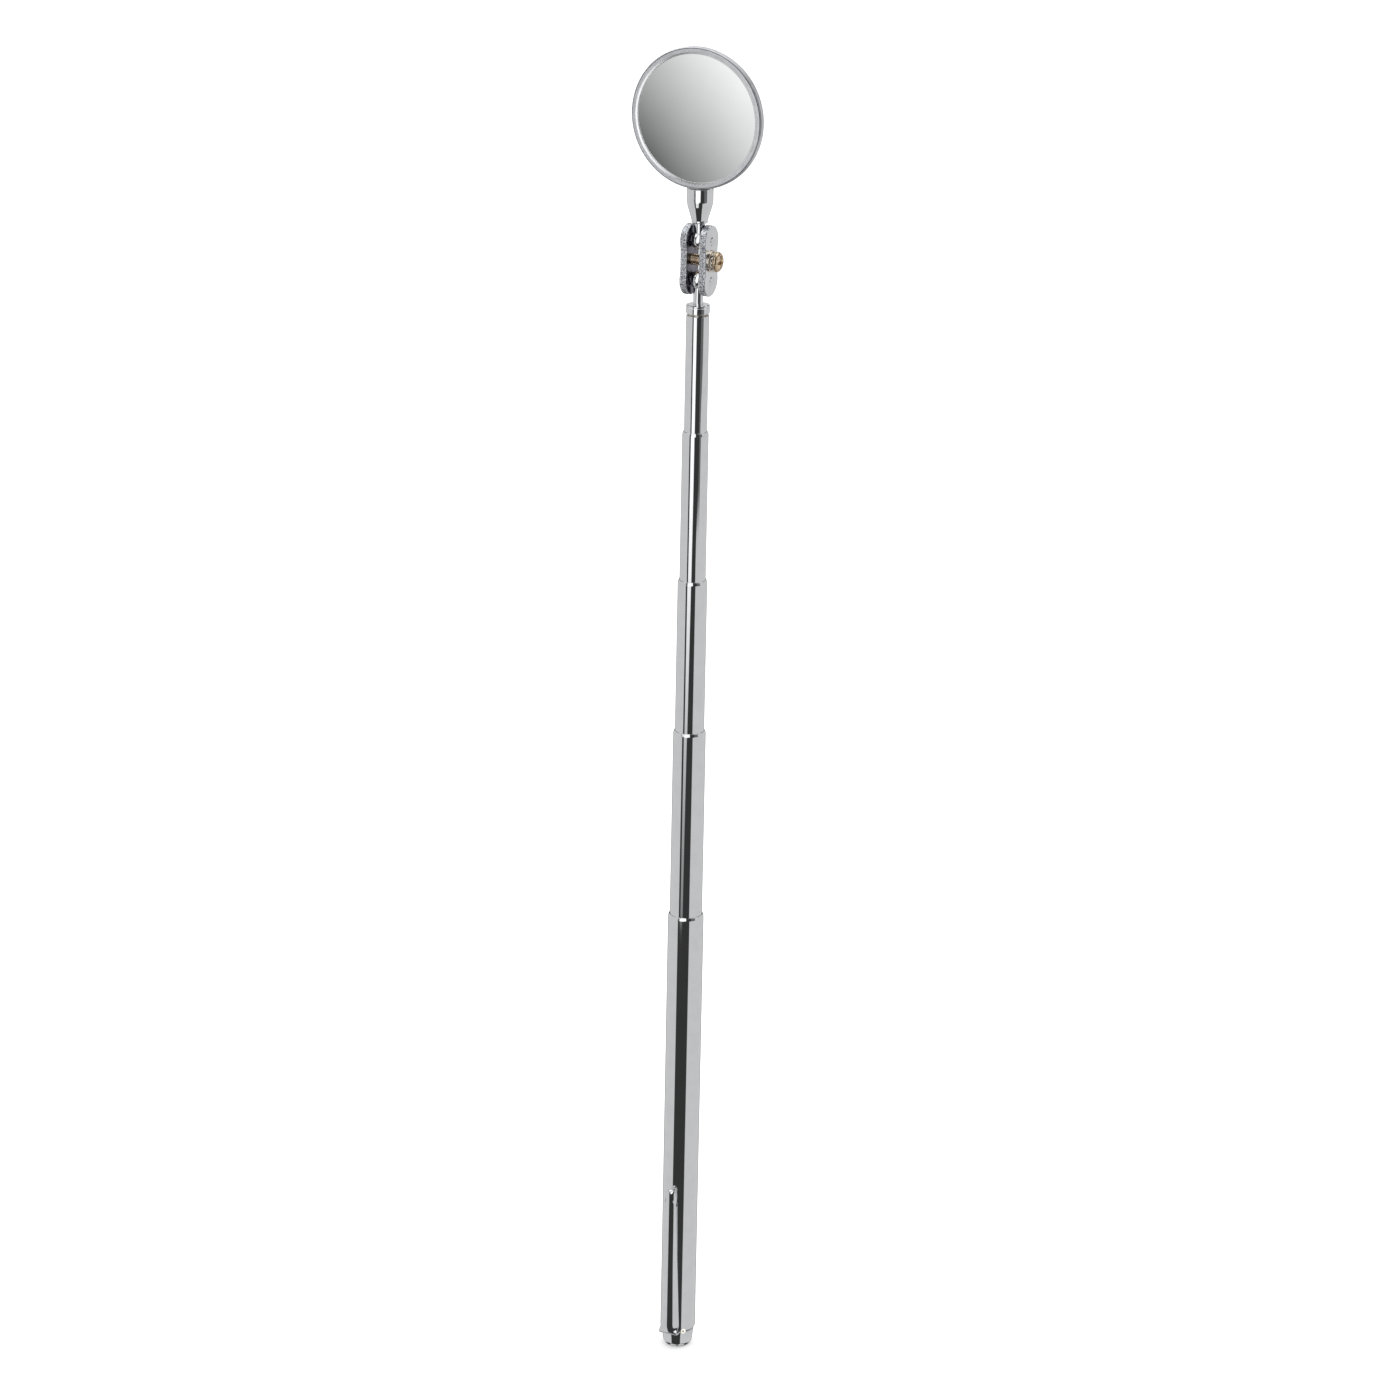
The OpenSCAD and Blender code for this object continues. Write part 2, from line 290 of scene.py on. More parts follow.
def spread(tree, source, low, high):
    """Maps noise from its usual middle range onto low to high."""
    ranged = add_node(tree, "ShaderNodeMapRange")
    ranged.inputs["From Min"].default_value = 0.3
    ranged.inputs["From Max"].default_value = 0.7
    ranged.inputs["To Min"].default_value = low
    ranged.inputs["To Max"].default_value = high
    tree.links.new(source, ranged.inputs["Value"])
    return ranged.outputs["Result"]


def metal(name, clean, worn, polish, lines=(1, 1, 1), line_size=12.0, patches=0.35, depth=0.4):
    """A metal: two close tones in soft patches, a roughness range, and fine lines or grain."""
    finish = bpy.data.materials.new(name)
    finish.use_nodes = True
    tree = finish.node_tree
    shader = tree.nodes["Principled BSDF"]
    shader.inputs["Metallic"].default_value = 1.0
    tone = add_node(tree, "ShaderNodeValToRGB")
    tone.color_ramp.elements[0].position = 0.35
    tone.color_ramp.elements[0].color = (*worn, 1)
    tone.color_ramp.elements[1].position = 0.6
    tone.color_ramp.elements[1].color = (*clean, 1)
    tree.links.new(noise(tree, (1, 1, 1), patches), tone.inputs["Fac"])
    tree.links.new(tone.outputs["Color"], shader.inputs["Base Color"])
    grain = noise(tree, lines, line_size, detail=2.0)
    tree.links.new(spread(tree, grain, *polish), shader.inputs["Roughness"])
    bump = add_node(tree, "ShaderNodeBump")
    bump.inputs["Strength"].default_value = 1.0
    bump.inputs["Distance"].default_value = depth * 1e-6
    tree.links.new(grain, bump.inputs["Height"])
    tree.links.new(bump.outputs["Normal"], shader.inputs["Normal"])
    return finish


ALONG_Z = (1, 1, 0.02)
tube_chrome = metal("chrome on drawn tube", (0.80, 0.81, 0.82), (0.77, 0.78, 0.80),
                    (0.03, 0.07), lines=ALONG_Z, line_size=6.0, depth=0.15)
turned_chrome = metal("chrome on turned brass", (0.81, 0.82, 0.83), (0.77, 0.78, 0.79),
                      (0.03, 0.08), line_size=5.0, depth=0.15)
frame_chrome = metal("satin chrome of the frame", (0.80, 0.81, 0.84), (0.72, 0.73, 0.76),
                     (0.34, 0.46), line_size=4.0, depth=0.2)
bevel_chrome = metal("polished chrome of the bevel", (0.84, 0.85, 0.86), (0.78, 0.79, 0.80),
                     (0.24, 0.3), line_size=4.0, depth=0.1)
# A dark finish that paints shade into the cap's seam and into the frame's groove and seam.
painted_seam_shade = metal("painted shade in grooves and seams", (0.30, 0.31, 0.33), (0.18, 0.19, 0.20),
                   (0.3, 0.5), line_size=6.0, patches=1.5, depth=1.0)
plate_chrome = metal("chrome on stamped plate", (0.80, 0.81, 0.83), (0.74, 0.75, 0.77),
                     (0.05, 0.12), line_size=5.0, depth=0.3)
plate_edge = metal("grainy plated edge", (0.90, 0.91, 0.94), (0.16, 0.18, 0.22),
                   (0.2, 0.5), line_size=7.0, patches=3.2, depth=8.0)
# Dark finish on the plates' inner faces: painted shade in the gap between the plates.
painted_plate_shade = metal("painted shade inside the plates", (0.22, 0.21, 0.25), (0.10, 0.10, 0.13),
                (0.12, 0.3), line_size=4.0, patches=0.8, depth=1.0)
spring_chrome = metal("chrome on spring steel", (0.80, 0.81, 0.82), (0.76, 0.77, 0.79),
                      (0.03, 0.08), lines=ALONG_Z, line_size=5.0, depth=0.15)
screw_brass = metal("tarnished brass", (0.86, 0.70, 0.50), (0.46, 0.32, 0.20),
                    (0.06, 0.2), line_size=8.0, patches=1.6, depth=0.8)
washer_nickel = metal("warm nickel of the washers", (0.86, 0.80, 0.72), (0.66, 0.58, 0.48),
                      (0.04, 0.1), line_size=2.0, patches=0.4, depth=0.1)
groove_brass = metal("brass showing in the groove", (0.60, 0.55, 0.50), (0.18, 0.16, 0.14),
                     (0.2, 0.4), line_size=8.0, patches=2.2, depth=0.8)
sleeve_bronze = metal("rubbed spring bronze", (0.66, 0.44, 0.25), (0.42, 0.27, 0.15),
                      (0.2, 0.42), lines=ALONG_Z, line_size=9.0, patches=0.9, depth=1.0)
print("metals:", len(bpy.data.materials))


# %% Put a part on its body
def fit(part, body, finishes, replaced=()):
    for finish in finishes:
        part.data.materials.append(finish)
    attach(part, body)
    if replaced:
        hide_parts(*replaced)
    print(part.name, "on", body, "with", len(part.data.polygons), "faces")


# %% [markdown]
# ## The tubes
#
# A telescopic tube is thin sheet drawn through a die. Its mouth is rolled in, which stops
# the next tube's sleeve from coming out and leaves the soft bright lip that marks each step.
# The roll is the detail that carries the look, so it gets a real fillet on both of its
# edges, and the inside is open as far as the eye can reach.

# %% Draw the five tubes
WALL = 0.25
MOUTH_PLAY = 0.04
ROLL = 0.62


def tube_section(node, inner):
    low, high = (corner.z for corner in span(node))
    outside = radius_of(node)
    bore = outside - WALL
    if inner is None:
        return [(outside, low, 0.06), (outside, high, 0.05), (bore, high, 0.05), (bore, low, 0.05)]
    mouth = radius_of(inner) + MOUTH_PLAY
    return [
        (outside, low, 0.08), (outside, high - ROLL, 0.5), (mouth + 0.12, high, 0.1),
        (mouth, high, 0.03), (mouth, high - 0.4, 0.1), (bore, high - 0.7, 0.1), (bore, low, 0.05),
    ]


for index, node in enumerate(TUBES):
    inner = TUBES[index + 1] if index + 1 < len(TUBES) else None
    part = turned("fine_" + node, tube_section(node, inner))
    fit(part, TUBE_BODIES[index], [tube_chrome], [node])


# %% [markdown]
# ## End cap and clip ring
#
# The cap screws into the barrel and tapers to a rounded end. Between the two sits a thin
# ring, and the ring's tab carries the clip. A hair of shadow has to stay open above and
# below the ring, because that seam is what makes the cap read as its own part. The ring
# is given a dark finish as painted shade, so it shows as a dark line in the seam.

# %% Turn the cap and the ring
cap_low, cap_high = span("end_cap")
ring_low, ring_high = span("clip_ring")
cap_shoulder = radius_of("end_cap")
cap_foot = cap_shoulder - 0.45
stud = radius_of("barrel_tube") - WALL - 0.55

end_cap = turned("fine_end_cap", [
    (0, cap_low.z, 0), (cap_foot - 0.5, cap_low.z, 0.6), (cap_foot, cap_low.z + 0.75, 0.9),
    (cap_shoulder, ring_low.z - 0.05, 0.12), (stud, ring_low.z - 0.05, 0.03),
    (stud, cap_high.z, 0.1), (0, cap_high.z, 0),
], closed=False)
fit(end_cap, "barrel", [turned_chrome], ["end_cap"])

ring_r = (ring_high.x - ring_low.x) / 2
clip_ring = turned("fine_clip_ring", [
    (ring_r, ring_low.z + 0.03, 0.1), (ring_r, ring_high.z - 0.03, 0.1),
    (stud, ring_high.z - 0.03, 0.03), (stud, ring_low.z + 0.03, 0.03),
])
# The ring's dark finish is painted shade in the seam between cap and barrel.
fit(clip_ring, "barrel", [painted_seam_shade], ["clip_ring"])

# %% Bend the tab and set the eyelet
# The eyelet's pale non-metal finish is a painted highlight, standing for a bright dot on the seam.
highlight_nylon = metal("pale nylon as painted highlight", (0.86, 0.83, 0.76), (0.74, 0.70, 0.62), (0.35, 0.5),
              line_size=6.0, patches=2.0, depth=1.0)
highlight_nylon.node_tree.nodes["Principled BSDF"].inputs["Metallic"].default_value = 0.0
tab_w = 4.5
TAB_ROUND = 0.12


def rounded_bar(half_w, half_t, round_r, count=6):
    """One loop of a bar's cross-section, with its four corners rounded."""
    loop = []
    for quarter in range(4):
        across = half_w - round_r if quarter in (0, 3) else round_r - half_w
        through = half_t - round_r if quarter in (0, 1) else round_r - half_t
        for step in range(count + 1):
            angle = math.pi / 2 * (quarter + step / count)
            loop.append((across + round_r * math.cos(angle), through + round_r * math.sin(angle)))
    return loop


tab_loops = []
tab_mid = (ring_low.z + ring_high.z) / 2
for y in (-stud - 0.2, -4.0, -4.5, ring_low.y + 0.05, ring_low.y):
    shrink = 0.06 if y == ring_low.y else 0
    loop = rounded_bar(tab_w / 2 - shrink, 0.19 - shrink, TAB_ROUND - shrink / 2)
    tab_loops.append([(x, y, tab_mid + z) for x, z in loop])
clip_tab = skinned("clip_tab", tab_loops, flip=True)
fit(clip_tab, "barrel", [turned_chrome])

EYELET_AZIMUTH = math.radians(44)
outward = Vector((math.sin(EYELET_AZIMUTH), -math.cos(EYELET_AZIMUTH), 0))
eyelet_spot = outward * (ring_r - 0.3) + Vector((0, 0, tab_mid + 0.15))
eyelet_place = Matrix.Translation(eyelet_spot) @ outward.to_track_quat("Z", "Y").to_matrix().to_4x4()
eyelet = turned("ring_eyelet", [
    (0.62, 0, 0.05), (0.62, 0.6, 0.2), (0.24, 0.6, 0.12), (0.24, 0, 0.05),
], eyelet_place, sides=48)
# Its pale finish paints the highlight dot on the seam.
fit(eyelet, "barrel", [highlight_nylon])


# %% [markdown]
# ## The pocket clip
#
# The clip is one strip of spring steel. It comes out of the ring, bends up through a right
# angle, runs along the barrel with an arched section that makes it stiff, narrows, and ends
# in a long bead that slides over cloth. It is skinned from sections that follow that
# path. Each section is a rounded strip folded over a round ridge, because the ridge is what
# draws the thin dark line down the whole clip. The bead is pressed in under the tip.

# %% Press the clip
clip_high = span("pocket_clip")[1]
hinge = next(joint for joint in frame["joints"] if joint["name"] == "clip_flex")
arm_y = hinge["pos_m"][1] / MM
root_z = hinge["pos_m"][2] / MM
BEAD_R, BEAD_HALF = 1.0, 2.8
bead_z = clip_high.z - BEAD_HALF
bead_y = -radius_of("barrel_tube") - 0.05 - BEAD_R
STRIP_T = 0.42
ROOT_W, TIP_W = tab_w, 2.4
BEND_R = 0.38
RIDGE_R, FLANK = 1.7, math.radians(45)
ARCH_SINK = 0.35
BEAD_WIDEN, BEAD_FLATTEN, BEAD_INSET = 1.35, 0.88, 0.1


def smooth_step(value, start, end):
    t = min(1.0, max(0.0, (value - start) / (end - start)))
    return t * t * (3 - 2 * t)


def soft_max(a, b, softness):
    return (a + b + math.sqrt((a - b) ** 2 + softness ** 2)) / 2


def arch_drop(x):
    """How far the strip falls away from its ridge: a round ridge that runs out in flat flanks."""
    turn_off = RIDGE_R * math.sin(FLANK)
    if abs(x) < turn_off:
        return RIDGE_R - math.sqrt(RIDGE_R ** 2 - x * x)
    return RIDGE_R * (1 - math.cos(FLANK)) + (abs(x) - turn_off) * math.tan(FLANK)


def clip_section(y, z, tilt, half_w, half_t, squareness, arch):
    """One loop of the strip: tilt 0 lies flat, a quarter turn stands upright."""
    loop = []
    for step in range(64):
        angle = FULL_TURN * step / 64
        c, s = math.cos(angle), math.sin(angle)
        x = half_w * math.copysign(abs(c) ** squareness, c)
        out = half_t * math.copysign(abs(s) ** squareness, s)
        out -= arch * arch_drop(x)
        loop.append((x, y - out * math.sin(tilt), z - out * math.cos(tilt)))
    return loop


clip_loops = []
for step in range(9):
    tilt = math.pi / 2 * step / 8
    y = arm_y + BEND_R * (1 - math.sin(tilt))
    z = root_z + 0.25 - BEND_R * math.cos(tilt)
    clip_loops.append(clip_section(y, z, tilt, ROOT_W / 2, 0.2, 0.3, 0))
strip_foot = root_z + 0.25
strip_top = clip_high.z - 1.0
for step in range(1, 81):
    z = strip_foot + (strip_top - strip_foot) * step / 80
    along = (z - strip_foot) / (strip_top - strip_foot)
    half_w = (ROOT_W + (TIP_W - ROOT_W) * along) / 2
    arch = smooth_step(z, strip_foot, strip_foot + 1.6)
    clip_loops.append(clip_section(
        arm_y - ARCH_SINK * arch, z, math.pi / 2, half_w, STRIP_T / 2, 0.3, arch))
for step in range(1, 17):
    angle = math.radians(88 * step / 16)
    shrink = math.cos(angle)
    z = strip_top + math.sin(angle) * 0.95
    y = arm_y - ARCH_SINK + 0.9 * (1 - shrink)
    clip_loops.append(clip_section(
        y, z, math.pi / 2, TIP_W / 2 * shrink, STRIP_T / 2 * shrink ** 0.5,
        0.3 + 0.5 * (1 - shrink), 1))
pocket_clip = skinned("fine_pocket_clip", clip_loops)
fit(pocket_clip, "clip", [spring_chrome], ["pocket_clip"])

bead_spot = Matrix.Translation((0, bead_y + BEAD_INSET, bead_z))
bead_place = bead_spot @ Matrix.Diagonal((BEAD_WIDEN, BEAD_FLATTEN, 1, 1))
bead_curve = []
for step in range(25):
    angle = math.pi * (step / 24 - 0.5)
    bead_curve.append((BEAD_R * math.cos(angle) ** 0.8, BEAD_HALF * math.sin(angle), 0))
clip_bead = turned("clip_bead", [(0, -BEAD_HALF, 0)] + bead_curve[1:-1] + [(0, BEAD_HALF, 0)],
                   bead_place, closed=False, sides=64)
fit(clip_bead, "clip", [spring_chrome])


# %% [markdown]
# ## Collar and ball studs
#
# The thinnest tube ends in a turned brass plug with a chromed rim. A narrow groove below the
# rim is left bare, and the brass shows there as a warm line. The studs are plain turned
# work, a rod with a ball on its end, but the short curve where rod meets ball matters: it
# keeps a line of light in the corner.

# %% Turn the collar
tube_end = span("tube_5")[1].z
collar_low, collar_high = span("end_collar")
collar_r = radius_of("end_collar")
rim_foot = tube_end + 0.52
rod_bore = 1.12

collar = turned("fine_end_collar", [
    (collar_r, rim_foot, 0.08), (collar_r, collar_high.z - 0.62, 0.05),
    (collar_r - 0.07, collar_high.z - 0.55, 0.03), (collar_r - 0.07, collar_high.z - 0.45, 0.03),
    (collar_r, collar_high.z - 0.38, 0.05), (collar_r, collar_high.z - 0.12, 0.1),
    (collar_r - 0.3, collar_high.z, 0.1), (rod_bore, collar_high.z, 0.05),
    (rod_bore, rim_foot, 0.03),
])
fit(collar, "fifth_tube", [turned_chrome], ["end_collar"])

groove_r = radius_of("tube_5") - WALL + 0.06
groove = turned("collar_groove", [
    (groove_r - 0.06, collar_low.z, 0.05), (groove_r - 0.06, tube_end, 0.01),
    (groove_r, tube_end + 0.01, 0.03), (groove_r, rim_foot + 0.05, 0.01),
    (rod_bore, rim_foot + 0.05, 0.01), (rod_bore, collar_low.z, 0.05),
])
fit(groove, "fifth_tube", [groove_brass])


# %% Turn the two ball studs
def stud_joint_angle(rod_r, ball_r):
    """Where the rod leaves the ball, as an angle from the ball's equator, in degrees."""
    return math.degrees(math.acos(rod_r / ball_r))


lower_low, lower_high = span("lower_ball_stud")
upper_low, upper_high = span("upper_ball_stud")
ball_r = (upper_high.x - upper_low.x) / 2
lower_ball = lower_high.z - ball_r
upper_ball = upper_low.z + ball_r
lower_rod, upper_rod = 1.075, 1.2
foot_r = 1.7

leave = stud_joint_angle(lower_rod + 0.12, ball_r)
lower_stud = turned("fine_lower_ball_stud", [
    (0, lower_low.z, 0), (foot_r, lower_low.z, 0.15), (foot_r, lower_low.z + 1, 0.15),
    (lower_rod, lower_low.z + 1, 0.05),
    (lower_rod, lower_ball - ball_r * math.sin(math.radians(leave)) - 0.1, 0.1),
] + bow(0, lower_ball, ball_r, -leave, 90), closed=False, sides=128)
fit(lower_stud, "lower_stud", [turned_chrome], ["lower_ball_stud"])

leave = stud_joint_angle(upper_rod + 0.12, ball_r)
upper_stud = turned("fine_upper_ball_stud", bow(0, upper_ball, ball_r, -90, leave) + [
    (upper_rod, upper_ball + ball_r * math.sin(math.radians(leave)) + 0.1, 0.1),
    (upper_rod, upper_high.z, 0.1), (0, upper_high.z, 0),
], closed=False, sides=128)
fit(upper_stud, "upper_stud", [turned_chrome], ["upper_ball_stud"])


# %% [markdown]
# ## Clamp plates
#
# Two oblong plates pinch the balls. Each is stamped: round lobes over the balls, a slight
# waist at the screw, a low blister outside and a round seat inside each lobe, and edges that
# were sheared and only tumbled. The plate is skinned in rings that start at the screw hole,
# run out over the face, round the edge and come back along the inside. The outline is a
# formula: for each direction from the screw, the farther of the lobe's circle and the
# waist's straight side.

# %% Stamp the plates
PLATE_ANGLES = 288
plate_low, plate_high = span("clamp_plate_right")
screw_z = (plate_low.z + plate_high.z) / 2
lobe_r = (plate_high.y - plate_low.y) / 2
lobe_off = (plate_high.z - plate_low.z) / 2 - lobe_r
blister_rise = 0.45
plate_out = plate_high.x - blister_rise
plate_in = plate_low.x
waist = 3.1
DOME_R = 1.57
hole_r = 1.29
seat_r = ball_r + 0.03
EDGE_OUT, EDGE_IN = 0.32, 0.18


def plate_reach(angle):
    """How far the outline lies from the screw in one direction."""
    c, s = max(1e-6, abs(math.cos(angle))), max(1e-6, abs(math.sin(angle)))
    middle = min(waist / c, lobe_off / s)
    under = lobe_r ** 2 - (lobe_off * c) ** 2
    lobe = lobe_off * s + math.sqrt(under) if under > 0 else 0.0
    return soft_max(middle, lobe, 0.2)


def to_ball(y, z):
    return math.hypot(y, abs(z) - lobe_off)


def outer_face(y, z):
    dome = math.sqrt(max(0.0, DOME_R ** 2 - to_ball(y, z) ** 2)) - DOME_R + blister_rise
    return plate_out + soft_max(0, dome, 0.05)


def inner_face(y, z):
    d = to_ball(y, z)
    bowl = math.sqrt(max(0.0, seat_r ** 2 - d * d))
    return soft_max(plate_in, bowl, 0.06)


def formed_plate(name, side):
    face_steps, edge_steps = 44, 6
    angles = [FULL_TURN * i / PLATE_ANGLES for i in range(PLATE_ANGLES)]
    reach = [plate_reach(angle) for angle in angles]
    loops = []

    def ring(spot):
        loop = []
        for angle, far in zip(angles, reach):
            distance, height = spot(angle, far)
            y, z = distance * math.cos(angle), distance * math.sin(angle)
            loop.append((side * height(y, z), y, screw_z + z))
        loops.append(loop)

    for step in range(face_steps + 1):
        t = step / face_steps
        ring(lambda a, far: (hole_r + (far - EDGE_OUT - hole_r) * t, outer_face))
    for step in range(1, edge_steps + 1):
        turn = math.pi / 2 * step / edge_steps
        ring(lambda a, far: (far - EDGE_OUT * (1 - math.sin(turn)),
                             lambda y, z: plate_out - EDGE_OUT * (1 - math.cos(turn))))
    for step in range(edge_steps + 1):
        turn = math.pi / 2 * step / edge_steps
        ring(lambda a, far: (far - EDGE_IN * (1 - math.cos(turn)),
                             lambda y, z: plate_in + EDGE_IN * (1 - math.sin(turn))))
    for step in range(1, face_steps + 1):
        t = 1 - step / face_steps
        ring(lambda a, far: (hole_r + (far - EDGE_IN - hole_r) * t, inner_face))
    plate = skinned(name, loops, ends="joined", flip=side > 0)
    edge_from, edge_to = face_steps + 2, face_steps + 2 * edge_steps
    for index, face in enumerate(plate.data.polygons):
        ring_index = index // PLATE_ANGLES
        if edge_from <= ring_index < edge_to:
            face.material_index = 1
        elif ring_index >= edge_to:
            face.material_index = 2
    return plate


# The inner faces of each plate take the dark painted shade finish.
for name, side in (("left", -1), ("right", 1)):
    plate = formed_plate("fine_clamp_plate_" + name, side)
    fit(plate, "clamp", [plate_chrome, plate_edge, painted_plate_shade], ["clamp_plate_" + name])


# %% [markdown]
# ## Screw and washers
#
# The screw pinches the plates. Its head is a low dome with a cross recess, there is a flat
# washer and a split spring washer under it, and between the plates the thread shows as a
# stack of fine bright lines. The thread is a real helix: the radius of each point depends on
# how far round and how far along it is.

# %% Cut the screw
screw_low, screw_high = span("clamp_screw")
head_r = (screw_high.y - screw_low.y) / 2
under_head = span("spring_washer")[1].x + 0.02
shank_r = 1.25
PITCH = 0.45
THREAD_DEPTH = 0.14
HEAD_SIDES = 192
recess_w, recess_l, recess_d = 0.3, 1.3, 0.7
HEAD_DOME = 0.9


def cross_recess(y, z):
    def slot_mask(along, across):
        length = 1 - smooth_step(abs(along), recess_l - 0.15, recess_l + 0.1)
        return length * (1 - smooth_step(abs(across), recess_w - 0.06, recess_w + 0.1))
    return recess_d * max(slot_mask(y, z), slot_mask(z, y))


def head_height(distance):
    rise = math.sqrt(max(0.0, 1 - (distance / head_r) ** 2))
    return screw_high.x - HEAD_DOME + HEAD_DOME * rise


def screw_loop(x_of, r_of):
    loop = []
    for i in range(HEAD_SIDES):
        angle = FULL_TURN * i / HEAD_SIDES
        r = r_of(angle)
        y, z = r * math.cos(angle), r * math.sin(angle)
        loop.append((x_of(y, z), y, screw_z + z))
    return loop


screw_loops = []
for step in range(1, 61):
    distance = (head_r - 0.004) * math.sin(math.pi / 2 * step / 60)
    screw_loops.append(screw_loop(
        lambda y, z: head_height(distance) - cross_recess(y, z), lambda a: distance))
for x, inset in ((screw_high.x - HEAD_DOME - 0.03, 0), (under_head + 0.1, 0), (under_head + 0.03, 0.05)):
    screw_loops.append(screw_loop(lambda y, z: x, lambda a: head_r - inset))
for r in (head_r - 0.15, shank_r + 0.12, shank_r):
    screw_loops.append(screw_loop(lambda y, z: under_head, lambda a: r))
thread_steps = int((under_head - screw_low.x) / PITCH * 8)
for step in range(1, thread_steps + 1):
    x = under_head - (under_head - screw_low.x) * step / thread_steps
    taper = 0.2 * smooth_step(-x, -screw_low.x - 0.25, -screw_low.x)

    def thread_r(angle):
        turn = (x / PITCH - angle / FULL_TURN) % 1.0
        return shank_r - taper - THREAD_DEPTH * abs(2 * turn - 1)
    screw_loops.append(screw_loop(lambda y, z: x, thread_r))
clamp_screw = skinned("fine_clamp_screw", screw_loops, flip=True)
fit(clamp_screw, "screw", [screw_brass], ["clamp_screw"])

# %% Punch and coil the washers
ALONG_X = Matrix.Translation((0, 0, screw_z)) @ Matrix.Rotation(math.pi / 2, 4, "Y")
flat_low, flat_high = span("flat_washer")
flat_r = (flat_high.y - flat_low.y) / 2
flat = turned("fine_flat_washer", [
    (flat_r, flat_low.x, 0.05), (flat_r, flat_high.x, 0.1),
    (hole_r, flat_high.x, 0.05), (hole_r, flat_low.x, 0.03),
], ALONG_X, sides=128)
fit(flat, "clamp", [washer_nickel], ["flat_washer"])

spring_low, spring_high = span("spring_washer")
coil_out = (spring_high.y - spring_low.y) / 2
coil_mid, coil_half = (coil_out + hole_r) / 2, (coil_out - hole_r) / 2
coil_t = spring_high.x - spring_low.x
spring_loops = []
for step in range(121):
    t = step / 120
    angle = math.radians(60 + 5 + 350 * t)
    x_mid = (spring_low.x + spring_high.x) / 2 + 0.06 * (t - 0.5)
    loop = []
    for across, through in rounded_bar(coil_half, coil_t / 2 - 0.04, 0.12):
        r = coil_mid + across
        loop.append((x_mid + through, r * math.cos(angle), screw_z + r * math.sin(angle)))
    spring_loops.append(loop)
spring = skinned("fine_spring_washer", spring_loops, flip=True)
fit(spring, "clamp", [washer_nickel], ["spring_washer"])


# %% [markdown]
# ## The neck
#
# The mirror stands on a turned neck: a straight shank that closes in like a bottle's
# shoulder to the width of the stud. Its upper half is milled away, and the tongue that is
# left lies behind the frame and is riveted to it.

# %% Turn the neck and mill the tongue
neck_low, neck_high = span("mirror_neck")
neck_r = radius_of("mirror_neck")
bezel_low, bezel_high = span("mirror_bezel")
back_low, back_high = span("mirror_back")
frame_r = (bezel_high.x - bezel_low.x) / 2
mirror_z = (bezel_high.z + bezel_low.z) / 2
shank_top = mirror_z - frame_r - 0.15
socket_r = upper_rod + 0.04
LIP_R = 1.75

neck = turned("fine_mirror_neck", [
    (LIP_R - 0.1, neck_low.z, 0.1), (LIP_R + 0.05, neck_low.z + 0.2, 0.12),
    (LIP_R - 0.03, neck_low.z + 0.5, 0.2), (neck_r - 0.18, neck_low.z + 3.7, 1.2),
    (neck_r, neck_low.z + 4.8, 2.2), (neck_r, shank_top, 0.15),
    (socket_r, shank_top, 0.02), (socket_r, neck_low.z, 0.04),
])
fit(neck, "mirror_head", [turned_chrome], ["mirror_neck"])

TONGUE_STEPS = 40
tongue_front = back_high.y
tongue_round = math.sqrt(neck_r ** 2 - tongue_front ** 2)
flat_half = math.asin(tongue_front / neck_r)
print("tongue reaches from", round(tongue_front, 2), "to", round(neck_r, 2))


def tongue_loop(z, squeeze):
    """A half-round section; squeeze narrows it towards the rounded top."""
    loop = []
    for step in range(TONGUE_STEPS + 1):
        angle = flat_half + (math.pi - 2 * flat_half) * step / TONGUE_STEPS
        x = neck_r * math.cos(angle) * squeeze
        y = tongue_front + (neck_r * math.sin(angle) - tongue_front) * squeeze ** 0.35
        loop.append((x, y, z))
    for step in range(1, 12):
        t = step / 12
        loop.append((-tongue_round * squeeze * (1 - 2 * t), tongue_front, z))
    return loop


tongue_loops = [tongue_loop(shank_top - 0.4, 1)]
tongue_crown = neck_high.z - tongue_round
for step in range(1, 9):
    tongue_loops.append(tongue_loop(shank_top + (tongue_crown - shank_top) * step / 8, 1))
for step in range(1, 19):
    rise = math.radians(88 * step / 18)
    tongue_loops.append(tongue_loop(tongue_crown + tongue_round * math.sin(rise), math.cos(rise)))
tongue = skinned("neck_tongue", tongue_loops)
fit(tongue, "mirror_head", [turned_chrome])

rivet_low, rivet_high = span("neck_rivet")
rivet_z = (rivet_low.z + rivet_high.z) / 2
TO_BACK = Matrix.Translation((0, 0, rivet_z)) @ Matrix.Rotation(-math.pi / 2, 4, "X")
rivet = turned("fine_neck_rivet", [
    (0, rivet_low.y, 0), (0.9, rivet_low.y, 0.05), (0.9, neck_r - 0.25, 0.02),
    (1.5, neck_r - 0.25, 0.05), (1.5, neck_r, 0.1), (0.9, rivet_high.y, 0.4), (0, rivet_high.y, 0),
], TO_BACK, closed=False, sides=64)
fit(rivet, "mirror_head", [turned_chrome], ["neck_rivet"])


# %% [markdown]
# ## The mirror and its frame
#
# A spun ring holds the glass, and a shallow cup closes it from behind. The ring's face falls
# in a low bevel towards the glass, and the bevel leans just enough to catch the bright strip
# as a crescent. It is smoother than the satin ring around it. Outside it a fine groove runs
# round the face, and a second one marks the seam between ring and cup. Both are darkened
# with painted shade: a dark finish in the groove, and a dark ring sunk in the seam.

# %% Spin the ring and the cup
FACING = Matrix.Translation((0, 0, mirror_z)) @ Matrix.Rotation(math.pi / 2, 4, "X")
front = -bezel_low.y
seam = -bezel_high.y
glass_low, glass_high = span("mirror_glass")
glass_front = -glass_low.y
rebate = frame_r - 0.8
lip = frame_r - 1.5
BEVEL_W = 0.42
crest = lip + BEVEL_W
GROOVE = frame_r - 0.3
SEAM_HALF = 0.06

